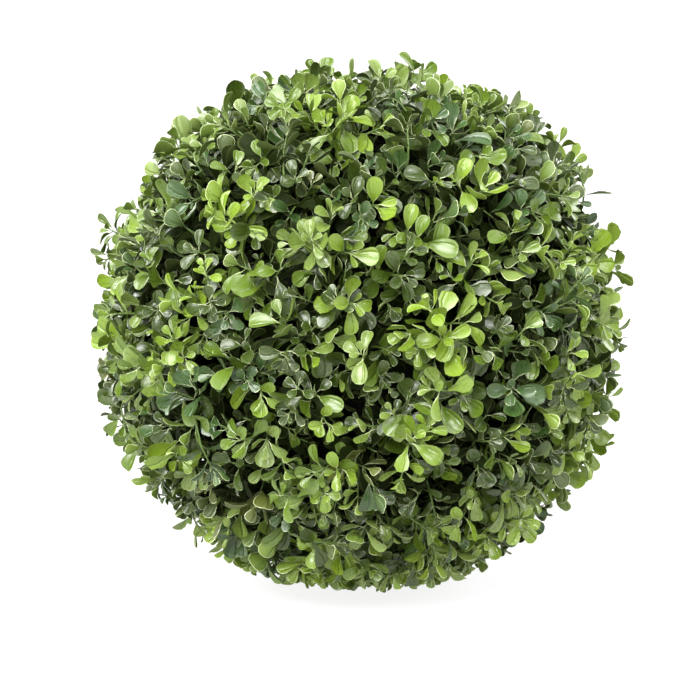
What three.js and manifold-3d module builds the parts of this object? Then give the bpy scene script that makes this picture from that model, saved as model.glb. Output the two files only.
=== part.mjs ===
// Artificial box topiary ball: a ball of moulded sprigs, about 380 mm across its leaf tips.
// A short stem stands on the ground and runs up inside the ball to its middle. Two half balls of
// foliage fit over it, a lower and an upper one, and meet at the ball's equator. Each half is one
// solid: a half-round core, with twigs that stand out of it and leaves fused on the twigs.
// Units are millimetres, +Z is up, and the origin is the middle of the flat cut under the stem.
import * as THREE from "three";
import { mergeVertices } from "three/addons/utils/BufferGeometryUtils.js";
import Module from "manifold-3d";

const wasm = await Module();
wasm.setup();

// ---- Driving dimensions ----
const BALL_RADIUS = 179.5; // mean radius of the foliage
const FLATTENING = 0.017; // shares of the radius, in the ball's outline
const SHOULDERS = 0.019;
const LUMPS = 0.007;
const TIP_REACH = 14; // most that a leaf tip stands out past that outline
const CENTRE_HEIGHT = 185; // of the ball's centre above the ground
const CORE_RADIUS = 163;
const CLEARANCE = 0.3; // between neighbouring solids
const GROUND_CLEARANCE = 0.6; // under the lowest leaf

const STEM_RADIUS = 9; // at its top
const STEM_TAPER = 3; // how much thicker it is where the root flare starts
const FLARE_RADIUS = 18; // at the ground
const FLARE_HEIGHT = 26;
const STEM_INTO_UPPER_HALF = 24;

const SPRIG_COUNT = 176;
const SPRIG_REACH = 9; // length of a sprig's twig outside the core
const SPRIG_LEAN = 0.24; // most that a sprig leans off the radius, in radians
const TWIG_RADIUS = 2.8; // to its corners, at its foot
const TWIG_TIP_RADIUS = 1.8;
const TWIG_SUNK = 9; // how deep a twig is sunk in the core

const LEAF_LENGTH = 34;
const LEAF_WIDTH = 24;
const LEAF_THICKNESS = 1.3;
const LEAF_CUP = 2.4; // how far a leaf's sides rise above its midrib
const LEAF_TRIES = 12; // places that are tried before a leaf is skipped
const LEAF_SHRINK = 0.96; // how much smaller a leaf is at each further try
const LEAF_FOOT_OFFSET = 0.42; // off the twig's axis, as a share of the twig's radius there
const LEAF_TWIST = 0.5; // most that a leaf turns about its midrib, in radians
// A sprig's leaves in opposite pairs, each pair a quarter turn from the last:
// [share of the twig's length, angle off the twig, size] for each leaf.
const SPRIG_LEAVES = [
  [0.45, 1.15, 1],
  [0.5, 1.15, 1],
  [0.84, 0.62, 0.9],
  [0.88, 0.62, 0.85],
];
const TURNED_SIDES = 24; // of the stem and the cores, whose corners line up
const SEED = 46;
const SMALLEST_EDGE = 0.02; // shorter edges are closed up after the fusing

const CENTRE = new THREE.Vector3(0, 0, CENTRE_HEIGHT);
const UP = new THREE.Vector3(0, 0, 1);
const GOLDEN_ANGLE = Math.PI * (3 - Math.sqrt(5));

// ---- Colours, as on moulded foliage ----
const foliageMaterial = () =>
  new THREE.MeshStandardMaterial({ color: 0x4f7a32, roughness: 0.5, metalness: 0 });
const stemMaterial = new THREE.MeshStandardMaterial({ color: 0x5b4a36, roughness: 0.8, metalness: 0 });

// ---- Helpers ----

// A small seeded random generator, which gives the same numbers each time.
function seededRandom(seed) {
  let state = seed >>> 0;
  return () => {
    state = (state + 0x6d2b79f5) >>> 0;
    let t = state;
    t = Math.imul(t ^ (t >>> 15), t | 1);
    t ^= t + Math.imul(t ^ (t >>> 7), t | 61);
    return ((t ^ (t >>> 14)) >>> 0) / 4294967296;
  };
}

function solidOf(geometry) {
  const bare = geometry.clone();
  for (const name of Object.keys(bare.attributes)) {
    if (name !== "position") bare.deleteAttribute(name);
  }
  const merged = mergeVertices(bare, 1e-4);
  return new wasm.Manifold(
    new wasm.Mesh({
      numProp: 3,
      vertProperties: new Float32Array(merged.attributes.position.array),
      triVerts: new Uint32Array(merged.index.array),
    }),
  );
}

function geometryOf(solid) {
  const mesh = solid.getMesh();
  const positions = new Float32Array(mesh.numVert * 3);
  for (let i = 0; i < mesh.numVert; i++) {
    positions.set(mesh.vertProperties.subarray(i * mesh.numProp, i * mesh.numProp + 3), i * 3);
  }
  return new THREE.BufferGeometry()
    .setAttribute("position", new THREE.BufferAttribute(positions, 3))
    .setIndex(new THREE.BufferAttribute(new Uint32Array(mesh.triVerts), 1));
}

function facesToGeometry(points, faces) {
  const positions = faces.flatMap((face) => face.flatMap((i) => points[i].toArray()));
  return new THREE.BufferGeometry().setAttribute(
    "position",
    new THREE.BufferAttribute(new Float32Array(positions), 3),
  );
}

// A unit vector square to the given one, turned about it by an angle.
function sideways(axis, angle) {
  const start = Math.abs(axis.z) > 0.9 ? new THREE.Vector3(1, 0, 0) : UP;
  return new THREE.Vector3().crossVectors(axis, start).normalize().applyAxisAngle(axis, angle);
}

// ---- Outline ----

// How far the foliage reaches from the centre in a direction: a ball that is a little flattened,
// with full shoulders and slow, low lumps.
function reach(direction) {
  const { x, y, z } = direction;
  const level = 1 - 2 * z * z; // 1 at the equator, -1 at the poles
  const lumps =
    Math.sin(3.1 * x + 1.3 * y + 0.4) +
    Math.sin(2.7 * y - 2.2 * z + 1.9) +
    Math.sin(4.3 * z + 2.1 * x + 2.6);
  return BALL_RADIUS * (1 + FLATTENING * level + SHOULDERS * (1 - 2 * level * level) + LUMPS * lumps);
}

// ---- Stem ----

const STEM_TOP = CENTRE_HEIGHT + STEM_INTO_UPPER_HALF;

// The stem's radius at a height: an even taper, with the root flare added near the ground.
function stemRadius(height) {
  const taper = STEM_RADIUS + STEM_TAPER * (1 - height / STEM_TOP);
  const flare = Math.max(0, 1 - height / FLARE_HEIGHT) ** 2;
  return taper + (FLARE_RADIUS - STEM_RADIUS - STEM_TAPER) * flare;
}

// Turns a profile of [radius, height] pairs about the Z axis.
function turned(profile) {
  const points = profile.map(([radius, height]) => new THREE.Vector2(radius, height));
  return new THREE.LatheGeometry(points, TURNED_SIDES).rotateX(Math.PI / 2);
}

// The stem, or with a margin the space round it that foliage keeps out of.
function stemGeometry(margin = 0) {
  const heights = [...[0, 0.12, 0.3, 0.55, 1].map((share) => share * FLARE_HEIGHT), STEM_TOP];
  const side = heights.map((height) => [stemRadius(height) + margin, height]);
  return turned([[0, 0], ...side, [0, STEM_TOP]]);
}

const stemSpace = solidOf(stemGeometry(2 * CLEARANCE));

// ---- Core ----

const CORE_STEPS = 6; // from a core's pole to the equator

// A core's outline from the equator to a radius near its pole, above (1) or below (-1) the centre.
function coreArc(sign, lastRadius) {
  const lastAngle = Math.acos(lastRadius / CORE_RADIUS);
  return Array.from({ length: CORE_STEPS + 1 }, (_, i) => {
    const angle = (lastAngle * i) / CORE_STEPS;
    const rise = Math.max(CORE_RADIUS * Math.sin(angle), CLEARANCE / 2);
    return [CORE_RADIUS * Math.cos(angle), CENTRE_HEIGHT + sign * rise];
  });
}

// The upper core is a half ball with a blind socket for the stem's top.
function upperCoreGeometry() {
  const socketRadius = stemRadius(CENTRE_HEIGHT) + CLEARANCE;
  const floor = CENTRE_HEIGHT + CLEARANCE / 2;
  const ceiling = STEM_TOP + CLEARANCE;
  return turned([[0, ceiling], [socketRadius, ceiling], [socketRadius, floor], ...coreArc(1, 0)]);
}

// The lower core is a half ball with a tapered hole right through, which the stem runs up in.
function lowerCoreGeometry() {
  const footRadius = stemRadius(CENTRE_HEIGHT - CORE_RADIUS) + CLEARANCE;
  const ceiling = CENTRE_HEIGHT - CLEARANCE / 2;
  const holeTop = [stemRadius(ceiling) + CLEARANCE, ceiling];
  return turned([holeTop, ...coreArc(-1, footRadius), holeTop].reverse());
}

// ---- Twigs and leaves ----

// A direction square to a twig: out of its corner for whole turns, out of a side for half ones.
function twigTurn(twig, quarters) {
  return sideways(twig.axis, twig.roll + (quarters * Math.PI) / 2);
}

// A four-sided twig, as box has, which tapers to its tip.
function twigSolid(twig) {
  const ring = (centre, radius) =>
    [0, 1, 2, 3].map((i) => centre.clone().addScaledVector(twigTurn(twig, i), radius));
  const sides = [0, 1, 2, 3].flatMap((i) => {
    const next = (i + 1) % 4;
    return [
      [i, next, next + 4],
      [i, next + 4, i + 4],
    ];
  });
  const ends = [
    [0, 2, 1],
    [0, 3, 2],
    [4, 5, 6],
    [4, 6, 7],
  ];
  const points = [...ring(twig.from, TWIG_RADIUS), ...ring(twig.to, TWIG_TIP_RADIUS)];
  return solidOf(facesToGeometry(points, [...ends, ...sides]));
}

// A leaf's six corners: foot, right, tip, left, and the middle of its upper and under sides.
// It is widest past its middle, as a box leaf is, and its sides are cupped up.
function leafCorners(foot, along, face, size) {
  const side = new THREE.Vector3().crossVectors(along, face).normalize();
  const up = new THREE.Vector3().crossVectors(side, along).normalize();
  const at = (a, s, u) =>
    foot
      .clone()
      .addScaledVector(along, a * LEAF_LENGTH * size)
      .addScaledVector(side, (s * LEAF_WIDTH * size) / 2)
      .addScaledVector(up, u);
  return [
    at(0, 0, 0),
    at(0.64, 1, LEAF_CUP * size),
    at(1, 0, -0.4 * LEAF_CUP * size),
    at(0.64, -1, LEAF_CUP * size),
    at(0.52, 0, LEAF_THICKNESS / 2),
    at(0.52, 0, -LEAF_THICKNESS / 2),
  ];
}

function leafSolid(corners) {
  const around = [0, 1, 2, 3];
  const faces = around.flatMap((i) => {
    const next = (i + 1) % 4;
    return [
      [i, next, 4],
      [next, i, 5],
    ];
  });
  return solidOf(facesToGeometry(corners, faces));
}

// Whether a point lies in the half ball's own space: on its side of the equator, above the
// ground and inside the outline.
function inSpace(point, sign) {
  const out = new THREE.Vector3().subVectors(point, CENTRE);
  const distance = out.length();
  return (
    sign * out.z > CLEARANCE / 2 &&
    point.z > GROUND_CLEARANCE &&
    distance < reach(out.normalize()) + TIP_REACH
  );
}

// Whether a leaf has room in its half ball: inside its space, off the core, and clear of the
// stem, of every leaf and of every twig but its own.
function hasRoom(half, twig, corners, leaf, centre) {
  const free = corners
    .slice(1)
    .every((corner) => inSpace(corner, half.sign) && corner.distanceTo(CENTRE) > CORE_RADIUS + 1);
  const cuts = (other) =>
    other !== twig && other.centre.distanceTo(centre) < LEAF_LENGTH && !other.solid.intersect(leaf).isEmpty();
  return free && leaf.intersect(stemSpace).isEmpty() && !half.leaves.some(cuts) && !half.twigs.some(cuts);
}

// Adds one leaf, which grows out of a side of its twig at an angle to it. It is skipped where it
// finds no room.
function addLeaf(half, twig, [share, spread, size], quarters, random) {
  const away = twigTurn(twig, quarters + 0.5);
  const offAxis = LEAF_FOOT_OFFSET * THREE.MathUtils.lerp(TWIG_RADIUS, TWIG_TIP_RADIUS, share);
  const foot = new THREE.Vector3().lerpVectors(twig.root, twig.to, share).addScaledVector(away, offAxis);
  const firstSize = size * (0.9 + 0.25 * random());
  for (let attempt = 0; attempt < LEAF_TRIES; attempt++) {
    const lean = spread * (0.7 + 0.6 * random());
    const along = twig.axis.clone().multiplyScalar(Math.cos(lean)).addScaledVector(away, Math.sin(lean));
    const face = twig.axis.clone().multiplyScalar(Math.sin(lean)).addScaledVector(away, -Math.cos(lean));
    face.applyAxisAngle(along, LEAF_TWIST * (2 * random() - 1));
    const corners = leafCorners(foot, along, face, firstSize * LEAF_SHRINK ** attempt);
    const solid = leafSolid(corners);
    const centre = new THREE.Vector3().lerpVectors(corners[0], corners[2], 0.5);
    if (hasRoom(half, twig, corners, solid, centre)) {
      half.leaves.push({ solid, centre });
      return;
    }
  }
}

// A twig that stands out of the core in about the given direction.
function twigTowards(direction, random) {
  const lean = sideways(direction, random() * 2 * Math.PI).multiplyScalar(SPRIG_LEAN * random());
  const axis = direction.clone().add(lean).normalize();
  const root = CENTRE.clone().addScaledVector(direction, CORE_RADIUS);
  const standOut = SPRIG_REACH * (0.85 + 0.3 * random()) + reach(direction) - BALL_RADIUS;
  const from = root.clone().addScaledVector(axis, -TWIG_SUNK);
  const to = root.clone().addScaledVector(axis, standOut);
  const twig = { axis, root, from, to, centre: to, roll: random() * Math.PI };
  return { ...twig, solid: twigSolid(twig) };
}

// Evenly spread directions from the ball's centre, each nudged a little.
function sprigDirections(random) {
  return Array.from({ length: SPRIG_COUNT }, (_, i) => {
    const z = 1 - (2 * i + 1) / SPRIG_COUNT;
    const ring = Math.sqrt(1 - z * z);
    const turn = i * GOLDEN_ANGLE;
    const direction = new THREE.Vector3(ring * Math.cos(turn), ring * Math.sin(turn), z);
    const nudge = sideways(direction, random() * 2 * Math.PI).multiplyScalar(0.07 * random());
    return direction.add(nudge).normalize();
  });
}

// A half ball: its core with the twigs and leaves on its side, all fused into one solid.
function halfBall(coreGeometry, sign) {
  const random = seededRandom(SEED + sign);
  const twigs = sprigDirections(seededRandom(SEED))
    .filter((direction) => sign * direction.z > 0.035)
    .map((direction) => twigTowards(direction, random))
    .filter((twig) => [twig.from, twig.to].every((point) => inSpace(point, sign)))
    .filter((twig) => twig.solid.intersect(stemSpace).isEmpty());
  const half = { sign, twigs, leaves: [] };
  for (const twig of twigs) {
    SPRIG_LEAVES.forEach((leaf, i) => {
      addLeaf(half, twig, leaf, 2 * i + Math.floor(i / 2), random);
    });
  }
  const pieces = [...half.twigs, ...half.leaves].map((piece) => piece.solid);
  return wasm.Manifold.union([solidOf(coreGeometry), ...pieces]).simplify(SMALLEST_EDGE);
}

// The largest of a solid's separate bodies, which drops any loose scrap.
function largestBody(solid) {
  return solid.decompose().reduce((best, body) => (body.volume() > best.volume() ? body : best));
}

function node(name, geometry, material) {
  const mesh = new THREE.Mesh(geometry, material);
  mesh.name = name;
  return mesh;
}

const ball = new THREE.Group();
ball.add(node("stem", stemGeometry(), stemMaterial));
for (const [name, coreGeometry, sign] of [
  ["lower_foliage", lowerCoreGeometry(), -1],
  ["upper_foliage", upperCoreGeometry(), 1],
]) {
  const solid = largestBody(halfBall(coreGeometry, sign));
  ball.add(node(name, geometryOf(solid), foliageMaterial()));
}

export default ball;
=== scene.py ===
# %% [markdown]
# # An artificial box topiary ball
# The real thing is two half shells of dark green plastic lattice, clipped together round their rim.
# Moulded sprigs are pushed into the lattice, and each one forks into shoots that carry dozens of
# small spoon-shaped leaves. This lesson dresses a plain solid model of it: the solids say where
# things are, and the meshes made here say what they look like.

# %% Load the solid model
import math
from collections import defaultdict
from itertools import product

import bmesh
import bpy
import numpy as np
from mathutils import Matrix, Vector
from mathutils.bvhtree import BVHTree


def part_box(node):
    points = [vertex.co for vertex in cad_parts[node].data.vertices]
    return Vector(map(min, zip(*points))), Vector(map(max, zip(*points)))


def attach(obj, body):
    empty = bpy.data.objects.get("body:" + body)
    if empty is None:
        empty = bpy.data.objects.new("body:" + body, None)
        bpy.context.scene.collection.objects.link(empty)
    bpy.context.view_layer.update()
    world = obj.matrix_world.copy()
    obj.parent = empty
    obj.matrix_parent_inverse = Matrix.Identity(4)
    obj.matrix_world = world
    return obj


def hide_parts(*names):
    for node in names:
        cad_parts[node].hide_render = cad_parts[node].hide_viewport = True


MM = 0.001
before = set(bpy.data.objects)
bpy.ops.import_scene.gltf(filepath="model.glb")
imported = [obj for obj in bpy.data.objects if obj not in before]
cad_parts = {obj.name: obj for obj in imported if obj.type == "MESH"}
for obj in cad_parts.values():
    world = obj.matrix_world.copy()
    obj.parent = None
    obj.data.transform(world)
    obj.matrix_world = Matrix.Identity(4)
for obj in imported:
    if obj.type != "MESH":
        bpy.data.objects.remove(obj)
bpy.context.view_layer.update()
print("nodes:", sorted(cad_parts))

# %% [markdown]
# ## Sizes
# The solid model grew by a rule: directions spread evenly over a ball, a twig out of the core in
# each, and leaves on the twig. The same rule grows the fine foliage here, so the values that it
# needs are repeated under the same names. Where the ball stands is read from the model.

# %% Values shared with the solid model
BALL_RADIUS = 179.5 * MM
FLATTENING = 0.017  # of the radius: wider than high,
SHOULDERS = 0.019  # fuller halfway between the sides and the top or bottom,
LUMPS = 0.007  # and a little uneven, as clipped by hand
TIP_REACH = 14 * MM  # how far a leaf's tip may stand past that shape
GROUND_CLEARANCE = 0.6 * MM
SPRIG_COUNT = 176
SPRIG_NUDGE = 0.07
SEED = 46
GOLDEN_ANGLE = math.pi * (3 - math.sqrt(5))

upper_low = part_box("upper_foliage")[0]
lower_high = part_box("lower_foliage")[1]
CENTRE = Vector((0, 0, (upper_low[2] + lower_high[2]) / 2))
print("ball centre:", round(CENTRE.z / MM, 1), "mm up")

# %% [markdown]
# ## Camera
# A long lens a good way off keeps the ball round, where a short one close by would swell its middle.
# The camera looks slightly down, at a point below the ball's middle, so the ball sits a little high.

# %% Camera
CAMERA_DISTANCE = 1.8
CAMERA_ELEVATION = math.radians(9)
BALL_SHARE = 0.737  # of the view's width, taken by the ball's mean outline
AIM_OFFSET = Vector((-6, 0, -19.5)) * MM


def add_object(name, data):
    """Puts a camera, light or mesh into the scene as an object at the origin."""
    made = bpy.data.objects.new(name, data)
    bpy.context.scene.collection.objects.link(made)
    return made


look_at = CENTRE + AIM_OFFSET
away = Vector((0, -math.cos(CAMERA_ELEVATION), math.sin(CAMERA_ELEVATION)))
camera_data = bpy.data.cameras.new("camera")
camera = add_object("camera", camera_data)
camera.location = look_at + away * CAMERA_DISTANCE
camera.rotation_euler = (-away).to_track_quat("-Z", "Y").to_euler()
ball_half_angle = math.asin(BALL_RADIUS / CAMERA_DISTANCE)
camera_data.lens = BALL_SHARE * camera_data.sensor_width / 2 / math.tan(ball_half_angle)
bpy.context.scene.camera = camera
print("lens:", round(camera_data.lens), "mm")

# %% [markdown]
# ## Colours and nodes
# Colours are written as sRGB hex values, as a colour picker shows them, and one function turns them
# to the linear values that Blender works in. A second one adds a node with its settings and links,
# and a third starts a material with the sockets that are the same all over.

# %% Colour and node helpers


def linear(hex_colour):
    """An sRGB hex value as linear RGBA, by the sRGB standard's own curve."""
    channels = [int(hex_colour[i : i + 2], 16) / 255 for i in (1, 3, 5)]
    turned = [c / 12.92 if c <= 0.04045 else ((c + 0.055) / 1.055) ** 2.4 for c in channels]
    return (*turned, 1)


def add_node(tree, kind, settings, links):
    """Adds a shader node, sets its properties and sockets, and links its inputs to outputs."""
    node = tree.nodes.new("ShaderNode" + kind)
    for name, value in settings.items():
        if isinstance(name, int) or name in node.inputs:
            node.inputs[name].default_value = value
        else:
            setattr(node, name, value)
    for name, output in links.items():
        tree.links.new(output, node.inputs[name])
    return node


def new_material(name, settings):
    """A new material and its Principled BSDF, with the given sockets set."""
    material = bpy.data.materials.new(name)
    material.use_nodes = True
    shader = material.node_tree.nodes["Principled BSDF"]
    for socket, value in settings.items():
        shader.inputs[socket].default_value = value
    return material, shader


print("#808080 is linear", round(linear("#808080")[0], 3))

# %% [markdown]
# ## Chance that repeats
# The foliage has to come out the same on every run, so all chance comes from one small seeded
# generator. It, the ball's shape and the spread of its sprigs are the solid model's. A spiral that
# turns by the golden angle at each step spreads directions evenly, and nudges hide its pattern.

# %% Seeded numbers


def seeded_random(seed):
    """A function that gives the next number between 0 and 1, by the mulberry32 rule."""
    state = seed & 0xFFFFFFFF

    def draw():
        nonlocal state
        state = (state + 0x6D2B79F5) & 0xFFFFFFFF
        t = ((state ^ (state >> 15)) * (state | 1)) & 0xFFFFFFFF
        t ^= (t + (((t ^ (t >> 7)) * (t | 61)) & 0xFFFFFFFF)) & 0xFFFFFFFF
        return (t ^ (t >> 14)) / 2**32

    return draw


print("first number drawn:", round(seeded_random(SEED)(), 3))

# %% The ball's shape and the spread of directions over it


def sideways(axis, angle):
    """A unit vector square to axis, turned about it by an angle."""
    start = Vector((1, 0, 0)) if abs(axis.z) > 0.9 else Vector((0, 0, 1))
    return Matrix.Rotation(angle, 3, axis) @ axis.cross(start).normalized()


def reach(direction):
    """How far the foliage reaches from the centre in a direction."""
    x, y, z = direction
    level = 1 - 2 * z * z
    lumps = (
        math.sin(3.1 * x + 1.3 * y + 0.4)
        + math.sin(2.7 * y - 2.2 * z + 1.9)
        + math.sin(4.3 * z + 2.1 * x + 2.6)
    )
    shoulders = SHOULDERS * (1 - 2 * level * level)
    return BALL_RADIUS * (1 + FLATTENING * level + shoulders + LUMPS * lumps)


def spread_directions(count, nudge, draw):
    """Directions spread evenly over the ball on a spiral, each nudged a little."""
    directions = []
    for i in range(count):
        z = 1 - (2 * i + 1) / count
        ring = math.sqrt(1 - z * z)
        turn = i * GOLDEN_ANGLE
        direction = Vector((ring * math.cos(turn), ring * math.sin(turn), z))
        push = sideways(direction, draw() * 2 * math.pi) * nudge * draw()
        directions.append((direction + push).normalized())
    return directions


print("reach to the right:", round(reach((1, 0, 0)) / MM, 1), "mm")

# %% [markdown]
# ## Modelling helpers
# Operators act on whatever is selected, so each step first selects what it needs by its place.

# %% Select and add


def select_where(test):
    """In edit mode, selects the vertices whose place passes a test."""
    mesh = bpy.context.object.data
    bpy.ops.mesh.select_mode(type="VERT")
    cage = bmesh.from_edit_mesh(mesh)
    for vertex in cage.verts:
        vertex.select_set(False)
    cage.select_flush(False)
    for vertex in cage.verts:
        vertex.select_set(bool(test(vertex.co)))
    cage.select_flush(True)
    bmesh.update_edit_mesh(mesh)


def select_faces(test):
    """In edit mode, selects the faces that pass a test."""
    mesh = bpy.context.object.data
    bpy.ops.mesh.select_mode(type="FACE")
    cage = bmesh.from_edit_mesh(mesh)
    for face in cage.faces:
        face.select_set(bool(test(face)))
    bmesh.update_edit_mesh(mesh)


def add_primitive(operator, name, **settings):
    """Adds a primitive with nothing else selected, names it and opens it in edit mode."""
    bpy.ops.object.select_all(action="DESELECT")
    operator(**settings)
    made = bpy.context.object
    made.name = name
    made.data.name = name
    bpy.ops.object.mode_set(mode="EDIT")
    bpy.ops.mesh.select_mode(type="VERT")
    return made


# %% [markdown]
# ## One leaf
# A box leaf is a spoon: a thin stalk, a blade that is widest past its middle, a round tip, a fold
# along the midrib and a thin pale rim, where the moulded edge catches light. It starts as a grid
# of two columns. Each row is scaled to the outline, both halves are turned up about the midrib, and
# the rows are rolled one after another so that the blade arches. A flipped copy that is pressed
# down in its middle closes the leaf from below, and an inset makes the rim. Thousands of copies
# follow, so a leaf has only a few dozen faces.

# %% Leaf outline
STALK_SHARE = 0.2  # of the leaf's length
STALK_WIDTH = 0.09  # of the blade's width
TIP_SHARE = 0.985  # of the length, where the corners beside the round tip lie


def outline(share, base, tip):
    """The leaf's width, from 0 to 1, at a share of its length.

    A larger base exponent makes the blade a narrower wedge towards the stalk, and a larger tip
    exponent makes the end blunter.
    """
    along = max(0, (share - STALK_SHARE) / (1 - STALK_SHARE))
    widest = (base / (base + tip / 2)) ** (1 / tip)
    crest = widest**base * math.sqrt(1 - widest**tip)
    return max(STALK_WIDTH, along**base * math.sqrt(1 - along**tip) / crest)


print("a wedge's widths:", [round(outline(i / 8, 0.95, 1.6), 2) for i in range(9)])

# %% Shape the rows
PARKED = 2  # metres away, where shaped rows wait clear of the others
ROW_TOLERANCE = 1e-4
ON_MIDRIB = 1e-7


def shape_rows(leaf, length, width, shape, stations):
    """Scales each row of the grid to the outline and moves it to its station."""
    levels = sorted({round(v.co.y, 5) for v in leaf.data.vertices})
    for level, station in zip(levels, stations):
        row_width = width * outline(min(station, TIP_SHARE), *shape)
        select_where(lambda co, level=level: abs(co.y - level) < ROW_TOLERANCE)
        bpy.ops.transform.resize(value=(row_width, 1, 1))
        bpy.ops.transform.translate(value=(0, PARKED + station * length - level, 0))
    select_where(lambda co: co.y > PARKED + TIP_SHARE * length and abs(co.x) > ON_MIDRIB)
    bpy.ops.transform.translate(value=(0, (TIP_SHARE - 1) * length, 0))
    bpy.ops.mesh.select_all(action="SELECT")
    bpy.ops.transform.translate(value=(0, -PARKED, 0))


# %% Lay out the leaf's map
MAP_SPAN = 0.45  # of the map, across the blade
FRONT_MIDRIB = 0.25  # across the map, where front and back lie side by side
BACK_MIDRIB = 0.75


def map_blade(leaf, length, width):
    """Lays the front out on the map, from stalk to tip, while it is still flat."""
    cage = bmesh.from_edit_mesh(leaf.data)
    layer = cage.loops.layers.uv.new("OFBake")
    for face in cage.faces:
        for corner in face.loops:
            across = corner.vert.co.x / width * MAP_SPAN
            corner[layer].uv = (FRONT_MIDRIB + across, corner.vert.co.y / length)
    bmesh.update_edit_mesh(leaf.data)


# %% Fold and arch the blade


def fold_and_arch(leaf, length, stations, fold, arch):
    """Turns both halves up about the midrib, then rolls row after row."""
    for side in (-1, 1):
        select_where(lambda co, side=side: co.x * side > ON_MIDRIB)
        bpy.ops.transform.rotate(value=side * fold, orient_axis="Y", center_override=(0, 0, 0))
    hinges = [station * length for station in stations[1:-1]]
    for hinge in hinges:
        select_where(lambda co, hinge=hinge: co.y > hinge - ON_MIDRIB)
        cage = bmesh.from_edit_mesh(leaf.data)
        midrib = [v.co.copy() for v in cage.verts if abs(v.co.x) < ON_MIDRIB]
        pivot = tuple(min(midrib, key=lambda co: abs(co.y - hinge)))
        bpy.ops.transform.rotate(value=arch / len(hinges), orient_axis="X", center_override=pivot)


# %% Close the leaf and give it a rim
BLADE, RIM, BACK = range(3)  # the leaf's material slots
RIM_LIP = 0.2  # of the rim's width, how far the blade lies below the rim
WELD_DISTANCE = 1e-6


def close_below(leaf, thickness):
    """Closes the leaf with a flipped copy, its inner points pressed down by the thickness."""
    bpy.ops.mesh.select_all(action="SELECT")
    bpy.ops.mesh.duplicate()
    bpy.ops.mesh.flip_normals()
    cage = bmesh.from_edit_mesh(leaf.data)
    layer = cage.loops.layers.uv["OFBake"]
    for face in cage.faces:
        face.material_index = BACK if face.select else BLADE
        if face.select:
            for corner in face.loops:
                corner[layer].uv.x += BACK_MIDRIB - FRONT_MIDRIB
    for vertex in cage.verts:
        vertex.select_set(vertex.select and not vertex.is_boundary)
    cage.select_flush(False)
    bmesh.update_edit_mesh(leaf.data)
    bpy.ops.transform.translate(value=(0, 0, -thickness))


def inset_rim(leaf, rim):
    """Insets the front and gives the faces round it the rim's material."""
    select_faces(lambda face: face.material_index == BLADE)
    bpy.ops.mesh.inset(thickness=rim, depth=-RIM_LIP * rim, use_boundary=True)
    cage = bmesh.from_edit_mesh(leaf.data)
    for face in cage.faces:
        if face.material_index == BLADE and not face.select:
            face.material_index = RIM
    bmesh.update_edit_mesh(leaf.data)


# %% Model the leaves
ROW_CROWDING = 1.35  # above 1, rows lie closer together near the tip, which curves most
# For each model its length and width in mm, the outline's exponents, its rows, its fold and arch in
# radians, and its thickness and rim in mm. Inner leaves only close gaps, so they have no rim.
LEAF_MODELS = {
    "broad": (26, 14, (0.95, 1.6), 7, 0.38, 0.95, 0.5, 0.46),
    "broad_flat": (26, 14.8, (1.15, 2), 7, 0.28, -0.7, 0.5, 0.46),
    "middle": (18, 9.8, (0.95, 1.6), 6, 0.38, 0.9, 0.45, 0.42),
    "middle_flat": (18, 10.4, (1.15, 2), 6, 0.28, -0.6, 0.45, 0.42),
    "small": (11, 6.4, (1, 1.8), 5, 0.3, 0.5, 0.4, 0.34),
    "inner": (20, 11, (1, 1.8), 4, 0.2, 0.3, 0.5, 0),
}


def model_leaf(name, length, width, shape, rows, fold, arch, thickness, rim):
    """Models a leaf with its foot at the origin, its length along +Y and its face to +Z."""
    leaf = add_primitive(
        bpy.ops.mesh.primitive_grid_add, name, x_subdivisions=2, y_subdivisions=rows, size=1
    )
    stations = [1 - (1 - i / rows) ** ROW_CROWDING for i in range(rows + 1)]
    shape_rows(leaf, length * MM, width * MM, shape, stations)
    map_blade(leaf, length * MM, width * MM)
    fold_and_arch(leaf, length * MM, stations, fold, arch)
    close_below(leaf, thickness * MM)
    if rim:
        inset_rim(leaf, rim * MM)
    bpy.ops.mesh.select_mode(type="VERT")
    bpy.ops.mesh.select_all(action="SELECT")
    bpy.ops.mesh.remove_doubles(threshold=WELD_DISTANCE)
    bpy.ops.object.mode_set(mode="OBJECT")
    return leaf


leaf_models = {name: model_leaf(name, *values) for name, values in LEAF_MODELS.items()}

# %% [markdown]
# ## Shoots
# On a moulded sprig one stem leaves the lattice and forks into shoots, which fan out until they
# meet those of the next sprig. So the tips are spread evenly over the ball, by the same spiral as
# the sprigs, and each shoot bends out to its tip from the foot of the sprig that is nearest. Box
# leaves sit in opposite pairs, each pair turned a quarter from the next. They are small and upright
# at the tip, and larger and more spread further in. Each branch of a sprig has one family of greens.

# %% Kinds of shoot and families of tones
# For each kind of shoot, its share and its pairs of leaves from the tip inwards: distance from the
# tip and length of a leaf in mm, and its angle to the shoot in degrees.
SHOOT_KINDS = {
    "broad": (0.37, [(0, 13, 30), (4, 21, 50), (10, 27, 64), (20, 27, 78)]),
    "middle": (0.35, [(0, 10, 30), (3.5, 15.5, 50), (8, 20, 64), (17, 21, 76)]),
    "fine": (0.28, [(0, 7.5, 28), (2.5, 11, 48), (6, 14, 60), (12, 16, 72), (20, 19, 80)]),
}
# For each family its share of the branches, and the shares of its tones.
FAMILIES = {
    "old": (0.37, {"deep": 0.5, "bluish": 0.3, "mid": 0.2}),
    "grown": (0.36, {"mid": 0.5, "sage": 0.3, "fresh": 0.2}),
    "young": (0.21, {"lime": 0.6, "fresh": 0.4}),
    "shaded": (0.06, {"olive": 0.5, "deep": 0.5}),
}


def pick(shares, value):
    """The key of a dictionary of shares that a number from 0 to 1 falls on."""
    for key, share in shares.items():
        value -= share
        if value < 0:
            return key
    return key


kind_shares = {kind: share for kind, (share, _) in SHOOT_KINDS.items()}
family_shares = {family: share for family, (share, _) in FAMILIES.items()}
print("shares of the branches:", family_shares)

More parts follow.
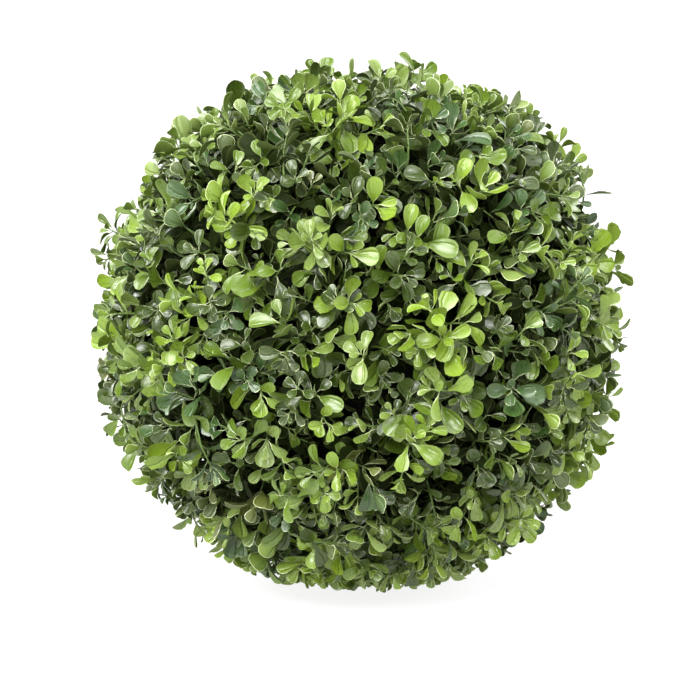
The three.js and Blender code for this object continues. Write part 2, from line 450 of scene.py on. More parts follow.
# %% Sprigs
SHELL_RADIUS = 138 * MM
HOLLOW = 8 * MM  # how far the shortest sprigs stay behind the others
BRANCHES = 3  # of a sprig, each with its own family of tones

sprigs = spread_directions(SPRIG_COUNT, SPRIG_NUDGE, seeded_random(SEED))
branch_draw = seeded_random(SEED + 1)
branch_families = [[pick(family_shares, branch_draw()) for _ in range(BRANCHES)] for _ in sprigs]
# The cube of a number from 0 to 1 is mostly small, so few sprigs are short.
hollows = [HOLLOW * branch_draw() ** 3 for _ in sprigs]


def sprig_below(towards):
    """The sprig nearest to a direction, and the branch on that side of it, as numbers."""
    nearest = max(range(SPRIG_COUNT), key=lambda i: sprigs[i].dot(towards))
    direction = sprigs[nearest]
    off_middle = towards - direction
    start = sideways(direction, 0)
    turn = math.atan2(off_middle.dot(direction.cross(start)), off_middle.dot(start))
    return nearest, int(turn / (2 * math.pi) * BRANCHES) % BRANCHES


print("sprigs:", len(sprigs), "and short ones:", sum(h > HOLLOW / 2 for h in hollows))

# %% Grow the shoots
SHOOT_COUNT = 1640
SHOOT_NUDGE = 0.05
PROUD = 1.5 * MM  # how far the highest leaves stand out of the ball's shape
SUNK = 30 * MM  # how deep the lowest shoots lie below them
TIP_LEAF_OUT = 0.5  # of the tip leaves' length, which stands past the shoot's own tip
LEAN = 12 * MM  # how far at most the bend of a shoot leans aside
BEND_AT = 0.5  # of the way from foot to tip
STRAY_SHARE = 0.07  # of the shoots, which stand out and arch over their neighbours
STRAY_REACH = 3 * MM
STRAY_LEAN = 2.2  # times a common shoot's lean
STRAY_BEND_AT = 0.8
HANGING_BELOW = -0.82  # lower directions have shoots that hang round the stem's foot
HANGING_REACH = 7 * MM


def grow_shoot(number, towards):
    """A shoot: its bent line from foot to tip, its kind, its tone and its own chance."""
    draw = seeded_random(SEED + 1000 + number)
    nearest, branch = sprig_below(towards)
    family = branch_families[nearest][branch]
    kind = pick(kind_shares, draw())
    stray = draw() < STRAY_SHARE
    if stray and kind == "broad":
        kind = "middle"
    tip_leaf = SHOOT_KINDS[kind][1][0][1] * MM
    proud = PROUD - TIP_LEAF_OUT * tip_leaf
    if stray:
        proud += STRAY_REACH
    elif towards.z < HANGING_BELOW:
        proud += HANGING_REACH
    else:
        proud -= SUNK * draw() ** 2 + hollows[nearest]
    foot = CENTRE + sprigs[nearest] * SHELL_RADIUS
    tip = CENTRE + towards * (reach(towards) + proud)
    lean = sideways(towards, draw() * 2 * math.pi) * (LEAN * draw())
    if stray:
        tip += lean * STRAY_LEAN
    bend_at = STRAY_BEND_AT if stray else BEND_AT
    bend = foot + sprigs[nearest] * (bend_at * (tip - foot).length) - lean
    tone = pick(FAMILIES[family][1], draw())
    return {"line": (foot, bend, tip), "kind": kind, "tone": tone, "draw": draw}


tips = spread_directions(SHOOT_COUNT, SHOOT_NUDGE, seeded_random(SEED + 2))
shoots = [grow_shoot(number, towards) for number, towards in enumerate(tips)]
for kind in SHOOT_KINDS:
    print(kind, "shoots:", sum(shoot["kind"] == kind for shoot in shoots))

# %% [markdown]
# ## Leaves on the shoots
# A leaf turns its face a little towards the light outside, whatever way its pair stands. Real
# leaves don't pass through each other, so each one is tried in a few poses, looser every time, and
# takes the first in which its blade crosses no blade of another pair. The outer pairs are placed
# first, because they show most. A leaf that finds no room inside the ball's reach and off the ground
# is left out. Leaves deeper in the ball are given darker tones, as painted shade.

# %% Where each pair of leaves sits
LOWEST_SHARE = 0.08  # of a shoot's way, below which it is too near the lattice for leaves


def point_on(line, share):
    """The point and direction of a shoot's bent line at a share of its way."""
    foot, bend, tip = line
    point = foot * (1 - share) ** 2 + bend * (2 * share * (1 - share)) + tip * share**2
    heading = (bend - foot) * (1 - share) + (tip - bend) * share
    return point, heading.normalized()


def pairs_from_tips():
    """Every pair of leaves, outermost first: its shoot, its rank and its share of the way."""
    for rank in range(max(len(pairs) for _, pairs in SHOOT_KINDS.values())):
        for number, shoot in enumerate(shoots):
            pairs = SHOOT_KINDS[shoot["kind"]][1]
            if rank < len(pairs):
                foot, bend, tip = shoot["line"]
                way = (bend - foot).length + (tip - bend).length
                share = 1 - pairs[rank][0] * MM / way
                if share >= LOWEST_SHARE:
                    yield number, rank, share


print("pairs of leaves:", sum(1 for _ in pairs_from_tips()))

# %% Pose a leaf
BROAD_FROM = 21 * MM  # lengths from which leaves take the broad and the middle models
MIDDLE_FROM = 13.5 * MM
ARCHED_SHARE = 0.6  # of those leaves; the others are flat
TURN_PLAY = 0.5  # radians in all, for a leaf's turn round its shoot and its roll about itself
SPREAD_PLAY = 22  # degrees in all
LEAST_LENGTH, LENGTH_PLAY = 0.88, 0.24  # times the pair's length
LEAST_WIDTH, WIDTH_PLAY = 0.9, 0.2  # times the model's proportion
LEAST_TWIST, TWIST_PLAY = 0.1, 0.3  # 1 would turn the face all the way to the light
LOOSENING = 0.5  # added to the play with each new try
SHRINKING = 0.96  # times the length with each new try


def choose_model(length, innermost, draw):
    """The name of the leaf model for a length."""
    if innermost:
        return "inner"
    if length > BROAD_FROM:
        return "broad" if draw() < ARCHED_SHARE else "broad_flat"
    if length > MIDDLE_FROM:
        return "middle" if draw() < ARCHED_SHARE else "middle_flat"
    return "small"


def leaf_frame(foot, axis, side, spread, scale, outward, twist, roll):
    """A leaf's 3x4 placement: its foot, and where its own axes point."""
    along = axis * math.cos(spread) + side * math.sin(spread)
    face = axis * math.sin(spread) - side * math.cos(spread)
    to_light = (outward - along * outward.dot(along)).normalized()
    face = (face * (1 - twist) + to_light * twist).normalized()
    face = Matrix.Rotation(roll, 3, along) @ face
    across = along.cross(face)
    columns = [across * scale[0], along * scale[1], face * scale[0], foot]
    return np.array([[c[i] for c in columns] for i in range(3)])


def pose_leaf(shoot, rank, turn, foot, axis, outward, attempt):
    """One way to place a leaf: the name of its model, and its placement."""
    draw = shoot["draw"]
    pairs = SHOOT_KINDS[shoot["kind"]][1]
    _, length, spread = pairs[rank]
    loose = 1 + LOOSENING * attempt
    turn += (draw() - 0.5) * TURN_PLAY * loose
    spread = math.radians(spread + (draw() - 0.5) * SPREAD_PLAY * loose)
    length = length * MM * (LEAST_LENGTH + LENGTH_PLAY * draw()) * SHRINKING**attempt
    name = choose_model(length, rank == len(pairs) - 1, draw)
    size = length / (LEAF_MODELS[name][0] * MM)
    scale = (size * (LEAST_WIDTH + WIDTH_PLAY * draw()), size)
    twist = LEAST_TWIST + TWIST_PLAY * draw()
    roll = (draw() - 0.5) * TURN_PLAY * loose
    return name, leaf_frame(foot, axis, sideways(axis, turn), spread, scale, outward, twist, roll)


for length in (10, 16, 25):
    print(length, "mm:", choose_model(length * MM, False, seeded_random(SEED)))

# %% Find out whether a leaf has room
CELL = 25 * MM  # leaves whose middles are further apart than this hardly ever touch


def tried_surface(model):
    """The blade of a leaf model without its stalk, as points and faces to test for crossings."""
    mesh = model.data
    stalk_end = STALK_SHARE * max(v.co.y for v in mesh.vertices)
    kept = [p for p in mesh.polygons if p.material_index == BLADE and p.center.y > stalk_end]
    used = sorted({index for p in kept for index in p.vertices})
    renumbered = {old: new for new, old in enumerate(used)}
    points = np.array([mesh.vertices[i].co for i in used])
    return points, [[renumbered[i] for i in p.vertices] for p in kept]


def is_inside(points, outward):
    """Whether a leaf is within the ball's reach and off the ground."""
    furthest = np.linalg.norm(points - np.array(CENTRE), axis=1).max()
    return furthest <= reach(outward) + TIP_REACH and points[:, 2].min() >= GROUND_CLEARANCE


class Thicket:
    """The leaves placed so far, found by place, so that a new one can be tested against them."""

    def __init__(self):
        self.cells = defaultdict(list)

    def cell(self, point):
        return tuple(int(math.floor(c / CELL)) for c in point)

    def near(self, point):
        for cell in product(*((c - 1, c, c + 1) for c in self.cell(point))):
            yield from self.cells.get(cell, ())

    def has_room(self, middle, tree, pair):
        for other_middle, other_tree, other_pair in self.near(middle):
            if (other_middle - middle).length < CELL and other_pair != pair:
                if tree.overlap(other_tree):
                    return False
        return True

    def add(self, middle, tree, pair):
        self.cells[self.cell(middle)].append((middle, tree, pair))


surfaces = {name: tried_surface(model) for name, model in leaf_models.items()}
for name, (points, faces) in surfaces.items():
    print(name, "is tested as", len(faces), "faces")

# %% Place the leaves
LEAF_TRIES = 6
# Painted shade: leaves that lie deeper below the ball's surface are given darker tones, standing in
# for the shade of the leaves above them.
PAINTED_SHADE_DEPTH = 11.5 * MM  # below the ball's surface, where leaves are a tone darker
INNER_DEPTH = 24 * MM  # and where all are dark
# For each tone, the darker tone that paints it in shade.
PAINTED_SHADE_TONES = {
    "deep": "inner",
    "bluish": "inner",
    "mid": "deep",
    "sage": "deep",
    "fresh": "mid",
    "lime": "mid",
    "olive": "inner",
}


def tone_at(tone, depth):
    """The tone that a shoot's leaves take at a depth below the ball's surface, darker deeper in as
    painted shade.
    """
    if depth > INNER_DEPTH:
        return "inner"
    return PAINTED_SHADE_TONES[tone] if depth > PAINTED_SHADE_DEPTH else tone


def place_leaf(thicket, number, rank, turn, point, axis):
    """A leaf's tone, model and placement in the first pose that has room, or None."""
    shoot = shoots[number]
    outward = (point - CENTRE).normalized()
    for attempt in range(LEAF_TRIES):
        name, placed = pose_leaf(shoot, rank, turn, point, axis, outward, attempt)
        points, faces = surfaces[name]
        moved = points @ placed[:, :3].T + placed[:, 3]
        if not is_inside(moved, outward):
            continue
        tree = BVHTree.FromPolygons(moved.tolist(), faces)
        middle = Vector(moved.mean(axis=0))
        if thicket.has_room(middle, tree, (number, rank)):
            thicket.add(middle, tree, (number, rank))
            # The depth picks a darker tone for deeper leaves, as painted shade.
            depth = reach(outward) - (middle - CENTRE).length
            return tone_at(shoot["tone"], depth), name, placed
    return None


def place_leaves():
    """For each half, tone and leaf model, the placements of its leaves."""
    thicket = Thicket()
    placements = defaultdict(list)
    skipped = 0
    for number, rank, share in pairs_from_tips():
        shoot = shoots[number]
        point, axis = point_on(shoot["line"], share)
        half = "upper" if point.z > CENTRE.z else "lower"
        # A number is drawn at every pair, but the shoot's first one sets the turn of them all.
        first_turn = shoot.setdefault("turn", shoot["draw"]() * math.pi)
        for opposite in (0, 1):
            turn = first_turn + rank * math.pi / 2 + opposite * math.pi
            found = place_leaf(thicket, number, rank, turn, point, axis)
            if found:
                tone, name, placed = found
                placements[half, tone, name].append(placed)
            else:
                skipped += 1
    print("leaves:", sum(map(len, placements.values())), "and", skipped, "without room")
    return placements


placements = place_leaves()

# %% [markdown]
# ## Leaf plastic
# The sprigs are injection-moulded polyethylene, dyed right through in several greens. The plastic
# is waxy: it gives the eye a broad, soft, uneven sheen over faint veins that the mould pressed in.
# The blade swells on both sides of its midrib like a pillow, which draws the sheen into a streak.
# The thin rim is painted pale and bright, as a highlight where the moulded edge catches light, and
# the back is a little paler and duller. Leaves deep inside are painted dark, as shade, and are dusty,
# without a pale rim or a sheen. Every tone has its own plain base colour. The relief follows the
# leaf's own map.

# %% Colours and finish of the leaves
TONES = {
    "deep": "#384B0C",
    "bluish": "#3D5926",
    "mid": "#5F781F",
    "sage": "#73893A",
    "fresh": "#758F27",
    "lime": "#7C9727",
    "olive": "#505914",
    # The inner tone is painted shade: the near-black given to leaves deep inside the ball.
    "inner": "#1B2603",
}
# A rim's pale colour is a painted highlight, for the light that the thin moulded edge catches.
PAINTED_RIM_HIGHLIGHT = ("#E0EBB4", 0.66)  # the colour that a rim fades to, and by how much
FAINT_RIM_HIGHLIGHT = ("#E0EBB4", 0.12)
DULL_BACK = ("#8C9A58", 0.12)
WAXY_LEAF = (0.3, 0.9)  # roughness and specular level
DUSTY_LEAF = (0.6, 0.12)
RIM_ROUGHER = 0.1  # than the blade
BACK_ROUGHER = 0.2
POLYETHYLENE_IOR = 1.51


def faded(colour, towards, share):
    """A linear colour that has faded to another by a share."""
    return tuple(a + (b - a) * share for a, b in zip(linear(colour), linear(towards)))


print("green of a pale rim:", round(faded(TONES["mid"], *PAINTED_RIM_HIGHLIGHT)[1], 2))

# %% Veins, patches of wax and the pillow of the blade
VEIN_PAIRS = 7
VEIN_SLANT = 10  # how steeply the veins run up from the midrib
PATCH_LENGTH = 0.25  # of the leaf, so 3 to 6 mm: a patch of thicker or thinner wax
NOISE_LOW, NOISE_HIGH = 0.3, 0.7  # between which most of a noise's values lie
SMOOTHER, ROUGHER = 0.07, 0.09  # how far the roughness varies from patch to patch
PILLOW_REACH = 0.12  # of the map, from the midrib out
RELIEF_UNIT = 0.15 * MM
PILLOW_HEIGHT = 8  # relief units, as the two below
WAVE_HEIGHT = 0.6
VEIN_HEIGHT = 0.12
RELIEF_STRENGTH = 0.5


def pressed_veins(tree, leaf_map, midrib):
    """Nodes for the distance from the midrib across the map, and for slanting veins."""
    split = add_node(tree, "SeparateXYZ", {}, {0: leaf_map.outputs["UV"]})
    off_midrib = add_node(tree, "Math", {"operation": "SUBTRACT", 1: midrib}, {0: split.outputs["X"]})
    across = add_node(tree, "Math", {"operation": "ABSOLUTE"}, {0: off_midrib.outputs[0]})
    slope = {"operation": "MULTIPLY", 1: -VEIN_SLANT}
    slant = add_node(tree, "Math", slope, {0: across.outputs[0]})
    # Ping-pong rises and falls once in two units, which make one pair of veins.
    count = {"operation": "MULTIPLY_ADD", 1: 2.0 * VEIN_PAIRS}
    phase = add_node(tree, "Math", count, {0: split.outputs["Y"], 2: slant.outputs[0]})
    veins = add_node(tree, "Math", {"operation": "PINGPONG", 1: 1}, {0: phase.outputs[0]})
    return across, veins


def wax_patches(tree, leaf_map, roughness):
    """Nodes for a soft noise over the leaf, and for the roughness that follows it."""
    # The front takes up half of the map's width, so the map is widened to keep patches round.
    widened = add_node(tree, "Mapping", {"Scale": (2, 1, 1)}, {"Vector": leaf_map.outputs["UV"]})
    noise = {"Scale": 1 / PATCH_LENGTH, "Detail": 1}
    patches = add_node(tree, "TexNoise", noise, {"Vector": widened.outputs["Vector"]})
    limits = {"From Min": NOISE_LOW, "From Max": NOISE_HIGH}
    limits |= {"To Min": roughness - SMOOTHER, "To Max": roughness + ROUGHER}
    uneven = add_node(tree, "MapRange", limits, {"Value": patches.outputs["Fac"]})
    return patches, uneven


def leaf_relief(tree, across, veins, patches):
    """Nodes for the bump: a pillow on each side of the midrib, slight waves and faint veins."""
    swelling = {"From Max": PILLOW_REACH, "To Max": PILLOW_HEIGHT}
    swelling["interpolation_type"] = "SMOOTHSTEP"
    pillow = add_node(tree, "MapRange", swelling, {"Value": across.outputs[0]})
    height = pillow.outputs["Result"]
    for layer, depth in ((patches.outputs["Fac"], WAVE_HEIGHT), (veins.outputs[0], VEIN_HEIGHT)):
        settings = {"operation": "MULTIPLY_ADD", 1: depth}
        height = add_node(tree, "Math", settings, {0: layer, 2: height}).outputs[0]
    settings = {"Strength": RELIEF_STRENGTH, "Distance": RELIEF_UNIT}
    return add_node(tree, "Bump", settings, {"Height": height})


# %% Leaf materials


def leaf_plastic(name, midrib, colour, roughness, specular):
    """Moulded polyethylene with pressed veins and an uneven waxy sheen."""
    settings = {"Base Color": colour, "Roughness": roughness, "IOR": POLYETHYLENE_IOR}
    settings["Specular IOR Level"] = specular
    material, shader = new_material(name, settings)
    tree = material.node_tree
    leaf_map = add_node(tree, "UVMap", {"uv_map": "OFBake"}, {})
    across, veins = pressed_veins(tree, leaf_map, midrib)
    patches, uneven = wax_patches(tree, leaf_map, roughness)
    relief = leaf_relief(tree, across, veins, patches)
    tree.links.new(uneven.outputs["Result"], shader.inputs["Roughness"])
    tree.links.new(relief.outputs["Normal"], shader.inputs["Normal"])
    return material


leaf_materials = {}
for tone, colour in TONES.items():
    roughness, specular = DUSTY_LEAF if tone == "inner" else WAXY_LEAF
    # The rim's colour is a painted highlight; leaves in painted shade deep inside get only a trace of
    # it.
    rim = (faded(colour, *(FAINT_RIM_HIGHLIGHT if tone == "inner" else PAINTED_RIM_HIGHLIGHT)), roughness + RIM_ROUGHER)
    back = (faded(colour, *DULL_BACK), roughness + BACK_ROUGHER)
    name = f"polyethylene_{tone}"
    leaf_materials[tone] = (
        leaf_plastic(name, FRONT_MIDRIB, linear(colour), roughness, specular),
        leaf_plastic(f"{name}_rim", FRONT_MIDRIB, *rim, specular),
        leaf_plastic(f"{name}_back", BACK_MIDRIB, *back, specular),
    )
print("leaf materials:", sum(map(len, leaf_materials.values())))

# %% [markdown]
# ## Joining the leaves
# Thousands of separate leaves would be slow to handle, so the leaves of each half and tone become
# one mesh. The model's points are moved to every placement at once, as one array.

# %% Join copies


def read(collection, name, width, kind):
    """One property of a mesh's elements as an array."""
    values = np.empty(len(collection) * width, dtype=kind)
    collection.foreach_get(name, values)
    return values.reshape(-1, width) if width > 1 else values


def copied(model, placed, first):
    """A model's points, corners, face sizes, slots and map, repeated for each placement."""
    mesh = model.data
    own_points = read(mesh.vertices, "co", 3, np.float32)
    moved = np.einsum("nij,vj->nvi", placed[:, :, :3], own_points) + placed[:, None, :, 3]
    own_corners = read(mesh.loops, "vertex_index", 1, np.int32)
    shift = first + len(own_points) * np.arange(len(placed))
    return (
        moved.reshape(-1, 3),
        (own_corners[None, :] + shift[:, None]).ravel(),
        np.tile(read(mesh.polygons, "loop_total", 1, np.int32), len(placed)),
        np.tile(read(mesh.polygons, "material_index", 1, np.int32), len(placed)),
        np.tile(read(mesh.uv_layers[0].data, "uv", 2, np.float32), (len(placed), 1)),
    )


def joined_copies(name, copies):
    """One mesh object from pairs of a model and the 3x4 placements of its copies."""
    parts = []
    first = 0
    for model, placed in copies:
        parts.append(copied(model, np.array(placed), first))
        first += len(model.data.vertices) * len(placed)
    points, corners, sizes, slots, maps = (np.concatenate(arrays) for arrays in zip(*parts))
    joined = bpy.data.meshes.new(name)
    joined.vertices.add(len(points))
    joined.vertices.foreach_set("co", points.ravel())
    joined.loops.add(len(corners))
    joined.loops.foreach_set("vertex_index", corners)
    joined.polygons.add(len(sizes))
    joined.polygons.foreach_set("loop_start", np.cumsum(sizes) - sizes)
    joined.polygons.foreach_set("material_index", slots)
    joined.update(calc_edges=True)
    layer = joined.uv_layers.new(name="OFBake")
    layer.data.foreach_set("uv", maps.ravel())
    joined.validate()
    return add_object(name, joined)


# %% Shade and count


def shade(piece, angle):
    """Shades a piece smooth, but for creases sharper than an angle in degrees."""
    bpy.ops.object.select_all(action="DESELECT")
    bpy.context.view_layer.objects.active = piece
    piece.select_set(True)
    bpy.ops.object.shade_smooth_by_angle(angle=math.radians(angle))
    piece.select_set(False)


def triangles(piece):
    return sum(len(face.vertices) - 2 for face in piece.data.polygons)


# %% Leaves of each half and tone
LEAF_CREASE = 60
for half in ("lower", "upper"):
    for tone, materials in leaf_materials.items():
        copies = [
            (model, placements[half, tone, name])
            for name, model in leaf_models.items()
            if placements[half, tone, name]
        ]
        piece = joined_copies(f"{half}_leaves_{tone}", copies)
        for material in materials:
            piece.data.materials.append(material)
        shade(piece, LEAF_CREASE)
        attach(piece, "root")
        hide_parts(f"{half}_foliage")
        print(piece.name, triangles(piece), "triangles")
for model in leaf_models.values():
    bpy.data.objects.remove(model)

# %% [markdown]
# ## Twigs
# The shoots' stems are pale green and hair-thin beside the leaves, and they show wherever a gap
# opens. They could be curves with a bevel, but so many short tubes are quicker to lay as one mesh:
# rings of four corners along each shoot's line, with a face at both ends.

# %% Twigs
TWIG_SIDES = 4
TWIG_STEPS = 5
TWIG_FOOT_RADIUS = 1.2 * MM
TWIG_TIP_RADIUS = 0.5 * MM


def twig_rings(line):
    """The corner points of a twig along a shoot's line, ring by ring from foot to tip."""
    rings = []
    for step in range(TWIG_STEPS + 1):
        share = step / TWIG_STEPS
        point, heading = point_on(line, share)
        radius = TWIG_FOOT_RADIUS + (TWIG_TIP_RADIUS - TWIG_FOOT_RADIUS) * share
        for side in range(TWIG_SIDES):
            rings.append(point + sideways(heading, side * 2 * math.pi / TWIG_SIDES) * radius)
    return rings


def twig_faces(first):
    """The faces of a twig whose first corner has a given number, closed at both ends."""
    faces = [[first + side for side in reversed(range(TWIG_SIDES))]]
    for step in range(TWIG_STEPS):
        low = first + step * TWIG_SIDES
        high = low + TWIG_SIDES
        for side in range(TWIG_SIDES):
            after = (side + 1) % TWIG_SIDES
            faces.append([low + side, low + after, high + after, high + side])
    last = first + TWIG_STEPS * TWIG_SIDES
    faces.append([last + side for side in range(TWIG_SIDES)])
    return faces


twig_points = []
twig_polygons = []
for shoot in shoots:
    twig_polygons += twig_faces(len(twig_points))
    twig_points += twig_rings(shoot["line"])
twig_mesh = bpy.data.meshes.new("twigs")
twig_mesh.from_pydata(twig_points, [], twig_polygons)
twigs = add_object("twigs", twig_mesh)
print("twigs:", triangles(twigs), "triangles")

# %% Stalk plastic
# The same polyethylene, but with less wax: satin, pale green and slightly grainy, so a twig doesn't
# flash like a leaf.


def add_grain(material, shader, size, noise, strength, depth):
    """A grainy relief: noise of a real size on the object's own coordinates, as a bump."""
    tree = material.node_tree
    place = add_node(tree, "TexCoord", {}, {})
    noise = {"Scale": 1 / size, **noise}
    grain = add_node(tree, "TexNoise", noise, {"Vector": place.outputs["Object"]})
    relief = {"Strength": strength, "Distance": depth}
    bump = add_node(tree, "Bump", relief, {"Height": grain.outputs["Fac"]})
    tree.links.new(bump.outputs["Normal"], shader.inputs["Normal"])
    print(material.name, "grain:", round(size / MM, 1), "mm")


stalk, stalk_shader = new_material(
    "polyethylene_stalk",
    {"Base Color": linear("#5A7232"), "Roughness": 0.45, "IOR": POLYETHYLENE_IOR},
)
add_grain(stalk, stalk_shader, size=2.5 * MM, noise={"Detail": 2}, strength=0.3, depth=0.2 * MM)
twig_mesh.materials.append(stalk)
shade(twigs, 100)  # degrees, so that the four sides look round
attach(twigs, "root")
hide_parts("lower_foliage", "upper_foliage")

# %% [markdown]
# ## Lattice shell
# The sprigs plug into a ball of dark plastic lattice. Only glimpses of it show, deep in the gaps.
# A subdivided cube that is rounded to a ball has even, square cells all over, which a sphere's
# rings haven't. The faces round the lowest point are drawn up into a socket for the stem, and the
# others are inset and pressed in, which leaves ribs between hollow cells.

# %% A cube rounded to a ball
CELLS_ON_EDGE = 12

shell = add_primitive(
    bpy.ops.mesh.primitive_cube_add, "lattice_shell", size=2 * SHELL_RADIUS, location=(0, 0, 0)
)
bpy.ops.mesh.select_all(action="SELECT")
bpy.ops.mesh.subdivide(number_cuts=CELLS_ON_EDGE - 1)
cage = bmesh.from_edit_mesh(shell.data)
for vertex in cage.verts:
    vertex.co = vertex.co.normalized() * SHELL_RADIUS
bmesh.update_edit_mesh(shell.data)
bpy.ops.transform.translate(value=CENTRE)
shell_bottom = CENTRE.z - SHELL_RADIUS
cell_size = 2 * SHELL_RADIUS * math.pi / 4 / CELLS_ON_EDGE  # each face spans a quarter turn
print("lattice cells:", round(cell_size / MM, 1), "mm wide")

# %% The stem's socket
SOCKET_WIDTH = 30 * MM
SOCKET_REACH = 1.2  # cells from the lowest point
SOCKET_CLEARANCE = 1 * MM

select_faces(
    lambda face: face.normal.z < 0 and face.calc_center_median().xy.length < SOCKET_REACH * cell_size
)
socket_shrink = SOCKET_WIDTH / (2 * cell_size)
bpy.ops.mesh.extrude_region_move()
bpy.ops.transform.resize(
    value=(socket_shrink, socket_shrink, 0), center_override=(0, 0, shell_bottom)
)
bpy.ops.mesh.extrude_region_move()
stem_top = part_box("stem")[1][2]
bpy.ops.transform.translate(value=(0, 0, stem_top + SOCKET_CLEARANCE - shell_bottom))
print("socket:", round((stem_top - shell_bottom) / MM), "mm deep")

# %% Ribs and cells
RIB_WIDTH = 1.6 * MM
CELL_DEPTH = 5 * MM
SHELL_TOLERANCE = 2 * MM  # a face this near the ball isn't part of the socket

select_faces(
    lambda face: abs((face.calc_center_median() - CENTRE).length - SHELL_RADIUS) < SHELL_TOLERANCE
)
bpy.ops.mesh.inset(thickness=RIB_WIDTH / 2, depth=0, use_individual=True)
bpy.ops.mesh.inset(thickness=RIB_WIDTH / 2, depth=-CELL_DEPTH, use_individual=True)
bpy.ops.object.mode_set(mode="OBJECT")
print("lattice shell:", triangles(shell), "triangles")

# %% Lattice plastic
# Moulded polypropylene, matt, and so dark a green that it looks like shade between the leaves.
lattice, lattice_shader = new_material(
    "polypropylene_lattice",
    {"Base Color": linear("#060904"), "Roughness": 0.7, "Specular IOR Level": 0.2},
)
add_grain(lattice, lattice_shader, size=2 * MM, noise={"Detail": 2}, strength=0.3, depth=0.2 * MM)
shell.data.materials.append(lattice)
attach(shell, "root")
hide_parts("lower_foliage", "upper_foliage")

# %% [markdown]
# ## Stem
# The foliage hides the stem, and only its foot can be glimpsed. It is a disc that is drawn up ring
# by ring to the solid stem's taper and flare. Its bark has a real relief: furrows that run up the
# stem, wander a little and cut in from the solid's surface, so that the stem never grows thicker.

# %% Draw up the stem
STEM_RADIUS = 9 * MM
STEM_TAPER = 3 * MM
FLARE_RADIUS = 18 * MM
FLARE_HEIGHT = 26 * MM
STEM_SIDES = 60
STEM_RINGS = 44
RING_CROWDING = 1.4  # above 1, the rings lie closer together in the flare

stem_low, stem_high = (corner[2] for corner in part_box("stem"))


def stem_radius(height):
    """The solid stem's radius at a height."""
    taper = STEM_RADIUS + STEM_TAPER * (1 - height / stem_high)
    flare = max(0, 1 - height / FLARE_HEIGHT) ** 2
    return taper + (FLARE_RADIUS - STEM_RADIUS - STEM_TAPER) * flare


stem = add_primitive(
    bpy.ops.mesh.primitive_circle_add,
    "bark_stem",
    vertices=STEM_SIDES,
    radius=stem_radius(0),
    fill_type="NGON",
    location=(0, 0, stem_low),
)
bpy.ops.mesh.select_all(action="SELECT")
height = stem_low
for ring in range(STEM_RINGS):
    risen = stem_high * ((ring + 1) / STEM_RINGS) ** RING_CROWDING
    wider = stem_radius(risen) / stem_radius(height)
    bpy.ops.mesh.extrude_region_move(TRANSFORM_OT_translate={"value": (0, 0, risen - height)})
    bpy.ops.transform.resize(value=(wider, wider, 1), center_override=(0, 0, risen))
    height = risen
print("stem:", round((stem_high - stem_low) / MM), "mm long")

# %% Cut the furrows of the bark
FURROWS = 11
FURROW_DEPTH = 0.9 * MM
FURROW_SHARPNESS = 0.6  # below 1, narrow furrows between broad ridges
FURROW_PART = 0.75  # of the depth; the cracks across take the rest
WANDER = ((0.22, 11 * MM), (0.1, 4.3 * MM))  # radians, and the height that each swing takes
CRACK_HEIGHT = 2.6 * MM
CRACK_SLANT = 3


def bark_cut(x, y, z):
    """How deep the bark is cut in at a point of the solid's surface."""
    around = math.atan2(y, x)
    for swing, rise in WANDER:
        around += swing * math.sin(z / rise)
    furrow = abs(math.sin(FURROWS / 2 * around)) ** FURROW_SHARPNESS
    crack = 0.5 + 0.5 * math.sin(z / CRACK_HEIGHT + CRACK_SLANT * math.sin(2 * around))
    return FURROW_DEPTH * (FURROW_PART * (1 - furrow) + (1 - FURROW_PART) * crack)


cage = bmesh.from_edit_mesh(stem.data)
for vertex in cage.verts:
    x, y, z = vertex.co
    keep = 1 - bark_cut(x, y, z) / stem_radius(z)
    vertex.co = (x * keep, y * keep, z)
bmesh.ops.recalc_face_normals(cage, faces=cage.faces)
bmesh.update_edit_mesh(stem.data)
bpy.ops.object.mode_set(mode="OBJECT")
print("bark stem:", triangles(stem), "triangles")

# %% Bark
# Dry brown bark: quite matt, with a crumbly grain on top of the furrows.
bark, bark_shader = new_material("cork_bark", {"Base Color": linear("#3B2C1F"), "Roughness": 0.85})
crumbs = {"Detail": 6, "Roughness": 0.65}
add_grain(bark, bark_shader, size=3 * MM, noise=crumbs, strength=0.6, depth=0.5 * MM)
stem.data.materials.append(bark)
shade(stem, 50)
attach(stem, "root")
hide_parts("stem")

# %% [markdown]
# ## Studio
# The ball stands on an opal acrylic table that is lit from below: it looks white, takes only a
# faint shadow and lights the underside. It and the surround give less light than their white
# would, or the leaves below would be as bright as those above.

# %% Table and surround
FLOOR_SIZE = 60
TABLE_LIGHT, TABLE_WHITE = 0.46, 0.86  # its glow as light on the ball, and as it looks
SURROUND_LIGHT, SURROUND_WHITE = 0.02, 0.98
WHITE = linear("#FFFFFF")

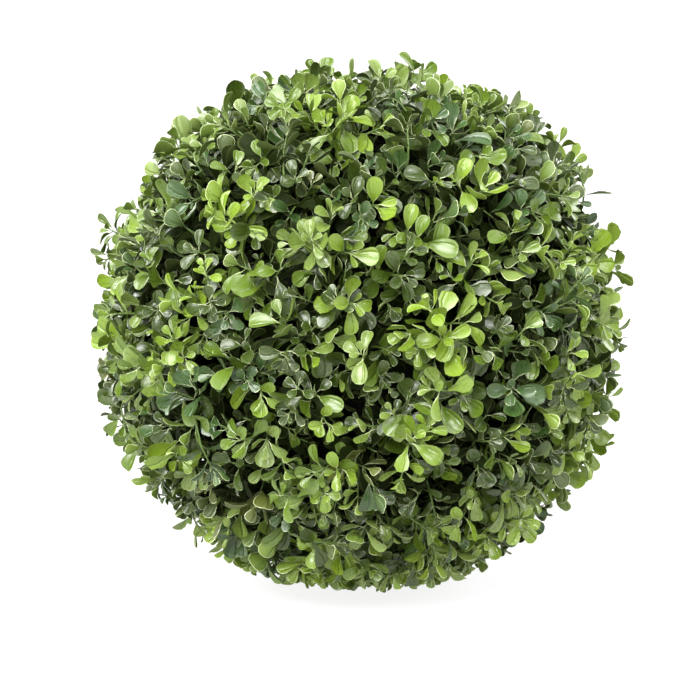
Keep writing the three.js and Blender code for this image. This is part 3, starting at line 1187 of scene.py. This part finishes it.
bpy.ops.object.select_all(action="DESELECT")
bpy.ops.mesh.primitive_plane_add(size=FLOOR_SIZE, location=(0, 0, 0))
floor = bpy.context.object
floor.name = "floor"
opal_acrylic, floor_shader = new_material(
    "backlit_acrylic_table",
    {"Base Color": linear("#767676"), "Roughness": 0.9, "Emission Color": WHITE},
)
table = opal_acrylic.node_tree
table_ray = add_node(table, "LightPath", {}, {})
limits = {"To Min": TABLE_LIGHT, "To Max": TABLE_WHITE}
glow = add_node(table, "MapRange", limits, {"Value": table_ray.outputs["Is Camera Ray"]})
table.links.new(glow.outputs["Result"], floor_shader.inputs["Emission Strength"])
floor.data.materials.append(opal_acrylic)

world = bpy.data.worlds.new("studio")
bpy.context.scene.world = world
world.use_nodes = True
studio = world.node_tree
surround = studio.nodes["Background"]
surround.inputs["Color"].default_value = WHITE
surround.inputs["Strength"].default_value = SURROUND_LIGHT
seen = add_node(studio, "Background", {"Color": WHITE, "Strength": SURROUND_WHITE}, {})
ray = add_node(studio, "LightPath", {}, {})
mixed = {0: ray.outputs["Is Camera Ray"], 1: surround.outputs[0], 2: seen.outputs[0]}
backdrop = add_node(studio, "MixShader", {}, mixed)
studio.links.new(backdrop.outputs[0], studio.nodes["World Output"].inputs["Surface"])
print("table:", FLOOR_SIZE, "m wide")

# %% [markdown]
# ## Lights
# Every light is a wide sun, as soft as a big softbox. The key stands high in front, two low ones
# fill the sides, mostly the left, and a very broad one lights from overhead. Two narrower ones draw
# glints on the waxy leaves, and two light the far side.

# %% Lights
# Where each light comes from, its strength, and its width in degrees.
LIGHTS = {
    "key": ((-0.3, -0.8, 0.95), 4.65, 46),
    "right_low": ((0.75, -1, 0), 0.7, 26),
    "left_low": ((-0.75, -1, 0), 3.1, 26),
    "overhead": ((0, 0.1, 1), 1.6, 80),
    "left_glint": ((-1, -0.5, 0.8), 0.9, 18),
    "right_glint": ((0.9, -0.8, 0.7), 1.1, 20),
    "left_back": ((-0.8, 0.9, 0.6), 2.5, 40),
    "right_back": ((0.9, 0.8, 0.6), 2, 40),
}


def soft_sun(name, from_direction, strength, width):
    """Adds a wide sun that shines from a direction."""
    light = bpy.data.lights.new(name, "SUN")
    light.energy = strength
    light.angle = math.radians(width)
    lamp = add_object(name, light)
    lamp.rotation_euler = (-Vector(from_direction)).to_track_quat("-Z", "Y").to_euler()


for name, settings in LIGHTS.items():
    soft_sun(name, *settings)
bpy.context.scene.view_settings.view_transform = "Standard"
print("lights:", len(LIGHTS))
